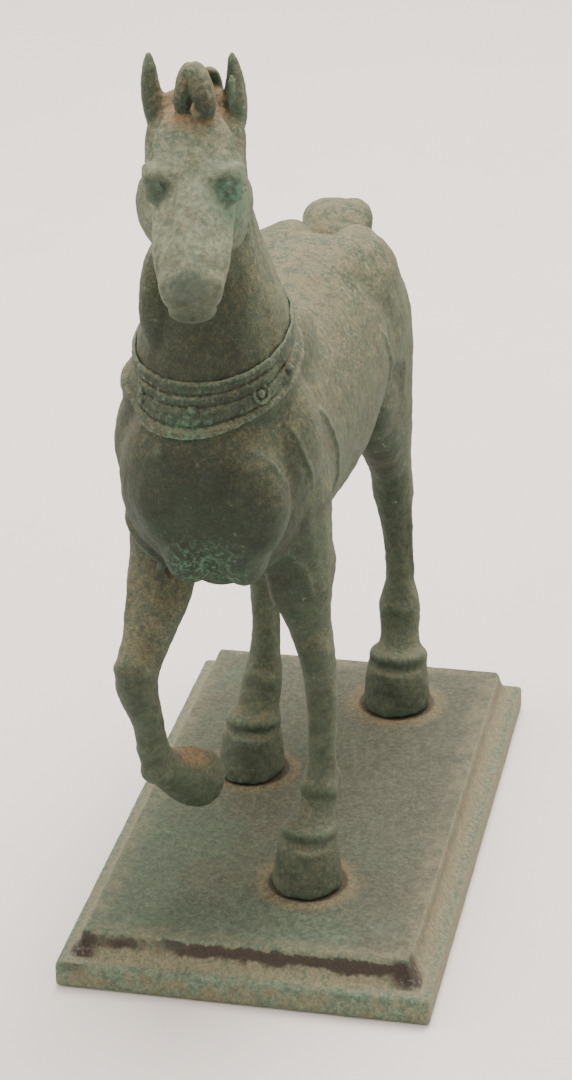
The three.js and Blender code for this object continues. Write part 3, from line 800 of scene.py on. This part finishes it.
class Finish:
    """A material whose nodes are added one by one, on coordinates in millimetres."""

    def __init__(self, name):
        self.material = bpy.data.materials.new(name)
        self.material.use_nodes = True
        self.tree = self.material.node_tree
        self.shader = self.tree.nodes["Principled BSDF"]
        coords = self.tree.nodes.new("ShaderNodeTexCoord")
        scaled = self.tree.nodes.new("ShaderNodeMapping")
        scaled.inputs["Scale"].default_value = (1000, 1000, 1000)
        self.tree.links.new(coords.outputs["Object"], scaled.inputs["Vector"])
        self.mm = scaled.outputs["Vector"]
        self.geometry = self.tree.nodes.new("ShaderNodeNewGeometry")

    def put(self, socket, value):
        if isinstance(value, bpy.types.NodeSocket):
            self.tree.links.new(value, socket)
        else:
            socket.default_value = value

    def noise(self, size, detail=4, rough=0.55, distort=0):
        """Clouds of a size in mm."""
        node = self.tree.nodes.new("ShaderNodeTexNoise")
        node.inputs["Scale"].default_value = 1 / size
        node.inputs["Detail"].default_value = detail
        node.inputs["Roughness"].default_value = rough
        node.inputs["Distortion"].default_value = distort
        self.put(node.inputs["Vector"], self.mm)
        return node.outputs["Fac"]

    def math(self, kind, a, b=0.0):
        node = self.tree.nodes.new("ShaderNodeMath")
        node.operation = kind
        self.put(node.inputs[0], a)
        self.put(node.inputs[1], b)
        return node.outputs[0]

    def times(self, a, b):
        return self.math("MULTIPLY", a, b)

    def plus(self, a, b):
        return self.math("ADD", a, b)

    def sway(self, clouds, amount):
        """Clouds centred on 0, so strong."""
        return self.times(self.math("SUBTRACT", clouds, 0.5), amount)

    def span(self, value, low, high, to_low=0.0, to_high=1.0):
        """A smooth step from one number to another as a value goes from low to high."""
        node = self.tree.nodes.new("ShaderNodeMapRange")
        node.interpolation_type = "SMOOTHSTEP"
        self.put(node.inputs["Value"], value)
        for name, number in zip(("From Min", "From Max", "To Min", "To Max"), (low, high, to_low, to_high)):
            node.inputs[name].default_value = number
        return node.outputs[0]

    def mix(self, amount, a, b):
        """One colour where the amount is 0, the other where it is 1."""
        node = self.tree.nodes.new("ShaderNodeMix")
        node.data_type = "RGBA"
        self.put(node.inputs[0], amount)
        self.put(node.inputs[6], a)
        self.put(node.inputs[7], b)
        return node.outputs[2]

    def shade(self, colour, amount):
        """A colour multiplied by another."""
        node = self.tree.nodes.new("ShaderNodeMix")
        node.data_type = "RGBA"
        node.blend_type = "MULTIPLY"
        node.inputs[0].default_value = 1
        self.put(node.inputs[6], colour)
        self.put(node.inputs[7], amount)
        return node.outputs[2]

    def facing(self, direction):
        """How far the surface looks towards a direction, from -1 to 1."""
        node = self.tree.nodes.new("ShaderNodeVectorMath")
        node.operation = "DOT_PRODUCT"
        self.put(node.inputs[0], self.geometry.outputs["Normal"])
        node.inputs[1].default_value = Vector(direction).normalized()
        return node.outputs["Value"]

    def along(self, direction):
        """How far in mm the surface lies along a direction from the origin."""
        node = self.tree.nodes.new("ShaderNodeVectorMath")
        node.operation = "DOT_PRODUCT"
        self.put(node.inputs[0], self.mm)
        node.inputs[1].default_value = direction
        return node.outputs["Value"]

    def near(self, place, inner, outer):
        """1 within a distance of a place in mm, fading to 0 farther out."""
        node = self.tree.nodes.new("ShaderNodeVectorMath")
        node.operation = "DISTANCE"
        self.put(node.inputs[0], self.mm)
        node.inputs[1].default_value = place
        return self.span(node.outputs["Value"], inner, outer, 1, 0)

    def finish(self, colour, roughness, bump, depth, strength):
        self.put(self.shader.inputs["Base Color"], colour)
        self.put(self.shader.inputs["Roughness"], roughness)
        node = self.tree.nodes.new("ShaderNodeBump")
        node.inputs["Distance"].default_value = depth * MM
        node.inputs["Strength"].default_value = strength
        self.put(node.inputs["Height"], bump)
        self.tree.links.new(node.outputs["Normal"], self.shader.inputs["Normal"])
        return self.material


BLACK = (0, 0, 0, 1)
WHITE = (1, 1, 1, 1)
DARK_GREEN = tint(64, 74, 62)
BROWN_BLACK = tint(58, 56, 47)
GREY_GREEN = tint(104, 114, 96)
OLIVE = tint(104, 102, 78)
VERDIGRIS = tint(78, 112, 90)
PALE_VERDIGRIS = tint(140, 172, 150)
DUST = tint(156, 142, 112)
RUST_DUST = tint(172, 138, 104)


def patina(name, dust, dark, wear_and_shade=None):
    """Old bronze: darker where it looks forwards, as painted shade, dusty where it looks up, and then its
    own worn marks and painted shade.
    """
    f = Finish(name)
    broad = f.noise(14, 5, 0.6, 0.6)
    middle = f.noise(4.2, 8, 0.62, 0.3)
    fine = f.noise(1.3, 6, 0.7)
    grain = f.noise(0.45, 4, 0.7)
    blots = f.noise(7, 6, 0.65, 1.2)
    ground = f.mix(f.span(middle, 0.4, 0.62), BROWN_BLACK, DARK_GREEN)
    ground = f.mix(f.span(broad, 0.36, 0.66, 0.2, 0.75), ground, VERDIGRIS)
    ground = f.mix(f.span(blots, 0.4, 0.7, 0.1, 0.7), ground, GREY_GREEN)
    ground = f.mix(f.span(fine, 0.5, 0.7, 0, 0.55), ground, OLIVE)
    up = f.facing((0, 0.12, 1))
    forward = f.facing((-0.1, -1, -0.5))
    lift = f.plus(f.sway(middle, 0.7), up)
    lift = f.plus(lift, f.sway(fine, 1.2))
    lift = f.plus(lift, f.sway(broad, 0.4))
    settled = f.span(lift, -0.5 - dust, 1.05 - dust)
    coat = f.mix(f.span(blots, 0.4, 0.6), DUST, f.mix(f.span(fine, 0.4, 0.65), GREY_GREEN, DUST))
    colour = f.mix(f.times(settled, 0.86), ground, coat)
    # Surfaces that look forwards and down are darkened, more so with a larger dark setting: painted shade.
    front = f.span(forward, 0.1, 0.95, 1, 0.6 - dark)
    colour = f.shade(colour, f.mix(front, BLACK, WHITE))
    edge = f.span(f.geometry.outputs["Pointiness"], 0.505, 0.56)
    for place, _, reach, _ in JOINTS.values():
        edge = f.times(edge, f.span(f.near(at(*place), reach - 4, reach), 0, 1, 1, 0))
    pit = f.span(f.geometry.outputs["Pointiness"], 0.492, 0.455)
    colour = f.mix(f.times(edge, 0.35), colour, PALE_VERDIGRIS)
    colour = f.mix(f.times(pit, 0.55), colour, BROWN_BLACK)
    flecks = f.times(f.span(f.noise(2.6, 5, 0.7), 0.63, 0.7), f.span(broad, 0.45, 0.6))
    colour = f.mix(f.times(flecks, 0.7), colour, PALE_VERDIGRIS)
    colour = f.shade(colour, f.mix(f.span(grain, 0.3, 0.7), grey(0.66), grey(1.26)))
    if wear_and_shade:
        colour = wear_and_shade(f, colour, fine, middle)
    colour = f.shade(colour, f.mix(f.span(fine, 0.25, 0.75), (0.5, 0.52, 0.48, 1), (0.82, 0.85, 0.79, 1)))
    f.shader.inputs["Metallic"].default_value = 0.15
    f.shader.inputs["Specular IOR Level"].default_value = 0.35
    rough = f.span(fine, 0.3, 0.7, 0.62, 0.88)
    bump = f.plus(f.times(grain, 0.5), f.plus(fine, f.times(middle, 0.7)))
    return f.finish(colour, rough, bump, 0.34, 0.9)


def head_wear_and_painted_shade(f, colour, fine, middle):
    """The face is worn pale, tan dust is caught between the ears, and the eye sockets, the nose end and the
    throat are darkened with painted shade.
    """
    face_place = at(0, -82, 216, HEAD_TURN)
    pale = f.times(f.near(face_place, 12, 27), f.span(middle, 0.3, 0.6, 0.25, 0.75))
    colour = f.mix(pale, colour, f.mix(f.span(fine, 0.34, 0.68), tint(134, 146, 124), tint(166, 164, 142)))
    for s in (1, -1):
        # Each eye socket is darkened green under its brow: painted shade.
        socket = f.near(at(s * 9, -77, 219.6, HEAD_TURN), 2.2, 5.2)
        colour = f.mix(f.times(socket, 0.75), colour, tint(66, 84, 72))
    # The nose end is darkened under the bridge's edge: painted shade.
    nose = f.near(at(0, -93.6, 202, HEAD_TURN), 2.5, 6)
    colour = f.mix(f.times(nose, 0.6), colour, tint(92, 104, 96))
    # The throat under the head is darkened: painted shade.
    throat_painted_shade = f.near(at(0, -70, 180), 12, 27)
    colour = f.shade(colour, f.mix(throat_painted_shade, WHITE, (0.68, 0.7, 0.68, 1)))
    green = f.times(f.near(at(9, -74, 216, HEAD_TURN), 2, 13), f.span(fine, 0.42, 0.56, 0, 0.8))
    colour = f.mix(green, colour, tint(100, 140, 118))
    heap = f.times(f.near(at(0, -60, 236, HEAD_TURN), 6, 11.5), f.span(fine, 0.34, 0.58))
    up = f.span(f.facing((0, -0.2, 1)), 0.1, 0.6)
    return f.mix(f.times(heap, up), colour, RUST_DUST)


def body_wear_and_painted_shade(f, colour, fine, middle):
    """Legs lean to grey-green and are a little darker, the breast is darkened with painted shade, and the
    raised hoof's upturned side is dusty.
    """
    low = f.span(f.along((0, 0, 1)), 60, 112, 0.45, 0)
    colour = f.mix(f.times(low, f.span(middle, 0.35, 0.6, 0.3, 1)), colour, tint(110, 120, 102))
    leg = f.span(f.along((0, 0, 1)), 66, 118, 1, 0)
    colour = f.shade(colour, f.mix(leg, WHITE, (0.84, 0.84, 0.82, 1)))
    # The breast, facing forwards under the neck, is darkened by half: painted shade.
    breast = f.near(at(3, -78, 144), 2, 60)
    colour = f.shade(colour, f.mix(breast, WHITE, (0.5, 0.54, 0.52, 1)))
    green = f.times(f.near(at(3, -72, 120), 4, 15), f.span(fine, 0.46, 0.6, 0, 0.6))
    colour = f.mix(green, colour, tint(92, 138, 112))
    heap = f.times(f.near(at(-9.6, -52, 57), 4, 9.5), f.span(fine, 0.36, 0.58, 0.2, 1))
    return f.mix(f.times(heap, f.span(f.facing((0, 0, 1)), 0.2, 0.7)), colour, RUST_DUST)


def collar_wear(f, colour, fine, middle):
    """Rubbed a little on the ridges, dark in the grooves."""
    crest = f.span(f.geometry.outputs["Pointiness"], 0.51, 0.57, 0, 0.4)
    colour = f.mix(crest, colour, tint(112, 122, 104))
    green = f.times(f.near(at(1, -75, 156), 2, 10), f.span(fine, 0.46, 0.6, 0, 0.6))
    colour = f.mix(green, colour, tint(92, 142, 114))
    groove = f.span(f.geometry.outputs["Pointiness"], 0.49, 0.44, 0, 0.85)
    return f.mix(groove, colour, tint(44, 44, 38))


def plinth_wear_and_painted_light(f, colour, fine, middle):
    """Brown and green on top, a dark worn band below the slab in front, dusty coves, dark corners, a
    painted shadow round each hoof and painted light on the side facing +X.
    """
    x, y, z = (f.along(axis) for axis in ((1, 0, 0), (0, 1, 0), (0, 0, 1)))
    broad = f.noise(26, 4, 0.6)
    up, front, right = f.facing((0, 0, 1)), f.facing((0, -1, 0)), f.facing((1, 0, 0))
    grain = f.noise(0.7, 3, 0.7)
    brown = f.mix(f.span(fine, 0.3, 0.72), tint(92, 90, 76), tint(114, 110, 94))
    green = f.mix(f.span(fine, 0.3, 0.72), tint(84, 98, 82), tint(112, 122, 100))
    where = f.plus(f.times(x, -0.012), f.times(y, -0.006))
    where = f.plus(where, f.sway(broad, 2.6))
    top = f.mix(f.span(where, -0.15, 0.75, 0, 0.85), brown, green)
    top = f.mix(f.span(middle, 0.56, 0.7, 0, 0.45), top, tint(132, 124, 104))
    rim = f.math("MAXIMUM", f.span(f.math("ABSOLUTE", x), 36, 43), f.span(f.math("ABSOLUTE", y), 73, 79))
    top = f.mix(f.times(rim, f.span(middle, 0.36, 0.6, 0.1, 0.7)), top, tint(140, 130, 106))
    for (hx, hy), sole, _ in HOOVES.values():
        ring = f.near(at(hx, hy, 15), sole + 2.4, sole + 6.5)
        top = f.mix(f.times(ring, f.span(fine, 0.3, 0.6, 0.3, 0.8)), top, tint(142, 124, 96))
        # A dark ring hard against each hoof's sole: painted contact shadow.
        hoof_painted_shadow = f.near(at(hx, hy, 15), sole + 0.6, sole + 1.4)
        top = f.mix(f.times(hoof_painted_shadow, 0.6), top, tint(70, 58, 46))
    side = f.mix(f.span(fine, 0.3, 0.7), tint(92, 114, 96), tint(130, 142, 122))
    side = f.mix(f.span(middle, 0.42, 0.62, 0, 0.7), side, tint(142, 132, 108))
    # The side facing +X is paled towards tan: painted light.
    side = f.mix(f.span(right, 0.3, 0.8, 0, 0.55), side, tint(158, 142, 116))
    step = f.times(f.span(z, 7.2, 8), f.span(z, 12.2, 11))
    side = f.mix(f.times(step, f.span(fine, 0.35, 0.6, 0.35, 0.9)), side, tint(150, 138, 112))
    ragged = f.plus(z, f.sway(middle, 5))
    band = f.times(f.span(ragged, 9.8, 11), f.span(ragged, 14.2, 13.4))
    band = f.times(band, f.span(f.plus(front, f.times(right, 0.3)), 0.2, 0.5))
    side = f.mix(f.times(band, f.span(broad, 0.36, 0.52, 0.1, 0.95)), side, tint(74, 62, 56))
    colour = f.mix(f.span(up, 0.55, 0.85), side, f.mix(f.span(z, 14, 14.5), side, top))
    for corner in ((44, -80, 11.6), (-45, -82, 9)):
        patch = f.times(f.near(corner, 3, 7.5), f.span(fine, 0.34, 0.5))
        colour = f.mix(f.times(patch, f.span(up, 0.95, 0.8)), colour, tint(70, 58, 52))
    edge = f.span(f.geometry.outputs["Pointiness"], 0.51, 0.58, 0, 0.55)
    colour = f.mix(edge, colour, tint(122, 142, 116))
    return f.shade(colour, f.mix(f.span(grain, 0.3, 0.7), grey(0.8), grey(1.2)))


def finish_pieces():
    """Give each piece its material. The fixings keep their own meshes."""
    skin = patina("horse_patina_and_shade", 0.0, 0.0, body_wear_and_painted_shade)
    face_finish = patina("head_patina_and_shade", 0.05, 0.0, head_wear_and_painted_shade)
    for o in (body, *limbs.values()):
        o.data.materials.append(skin)
    for o in (head, forelock):
        o.data.materials.append(face_finish)
    collar.data.materials.append(patina("collar_patina", -0.3, 0.1, collar_wear))
    plinth.data.materials.append(patina("plinth_patina_and_light", -0.02, -0.1, plinth_wear_and_painted_light))
    fixing = patina("fixing_bronze", -0.2, -0.2)
    for name, node in nodes.items():
        if name.split("_")[-1] in ("pin", "stud", "washer", "nut"):
            slots = node.data.materials
            for i in range(len(slots)):
                slots[i] = fixing
            if not slots:
                slots.append(fixing)


finish_pieces()
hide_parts("trunk", *(n for n in BODY_CASTINGS if n != "trunk" and n not in limbs))
for name, o in limbs.items():
    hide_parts(name)
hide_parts("neck_and_head")
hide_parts("forelock")
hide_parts("collar")
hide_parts("plinth")
for o, name in ((body, "horse_bronze"), (head, "horse_bronze"), (forelock, "horse_bronze"),
                (collar, "collar_bronze"), (plinth, "plinth_bronze"),
                *((o, "horse_bronze") for o in limbs.values())):
    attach(o, "root")


# ---- floor, lights, camera ----
bpy.ops.mesh.primitive_plane_add(size=8, location=(0, 0, -0.0002))
floor = bpy.context.object
floor.name = "floor"
paper = Finish("pale_floor")
tone = paper.mix(paper.noise(60, 3), tint(236, 223, 214), tint(240, 229, 221))
paper.finish(tone, 0.85, paper.noise(8, 3), 0.02, 0.2)
floor.data.materials.append(paper.material)

world = bpy.data.worlds.new("studio")
bpy.context.scene.world = world
world.use_nodes = True
world.node_tree.nodes["Background"].inputs[0].default_value = (1.0, 0.97, 0.94, 1)
world.node_tree.nodes["Background"].inputs[1].default_value = 1.25


def camera():
    azimuth, elevation, roll = math.radians(12.347), math.radians(25.704), math.radians(-1)
    level = math.cos(elevation)
    back = Vector((math.sin(azimuth) * level, -math.cos(azimuth) * level, math.sin(elevation)))
    right = (-back).cross(Vector((0, 0, 1))).normalized()
    up = right.cross(-back)
    r, u = right * math.cos(roll) + up * math.sin(roll), up * math.cos(roll) - right * math.sin(roll)
    turn = Matrix((r, u, back)).transposed()
    bpy.ops.object.camera_add(location=(0.1532, -0.7206 + PLINTH_Y, 0.4486), rotation=turn.to_euler())
    o = bpy.context.object
    o.data.lens = 100
    o.data.sensor_width = 36
    o.data.clip_start = 0.01
    bpy.context.scene.camera = o


def softbox(name, place, aim, size, watts, colour=(1, 1, 1)):
    bpy.ops.object.light_add(type="AREA", location=place)
    o = bpy.context.object
    o.name = name
    o.data.shape = "DISK"
    o.data.size = size
    o.data.energy = watts
    o.data.color = colour
    o.rotation_euler = (Vector(place) - Vector(aim)).to_track_quat("Z", "Y").to_euler()


camera()
softbox("overhead", (0.1, 0.5, 1.5), (0, 0, 0.1), 1.0, 38, (1, 0.98, 0.95))
softbox("left_fill", (-1.0, -0.2, 0.7), (0, 0, 0.12), 0.8, 4, (1, 0.97, 0.94))
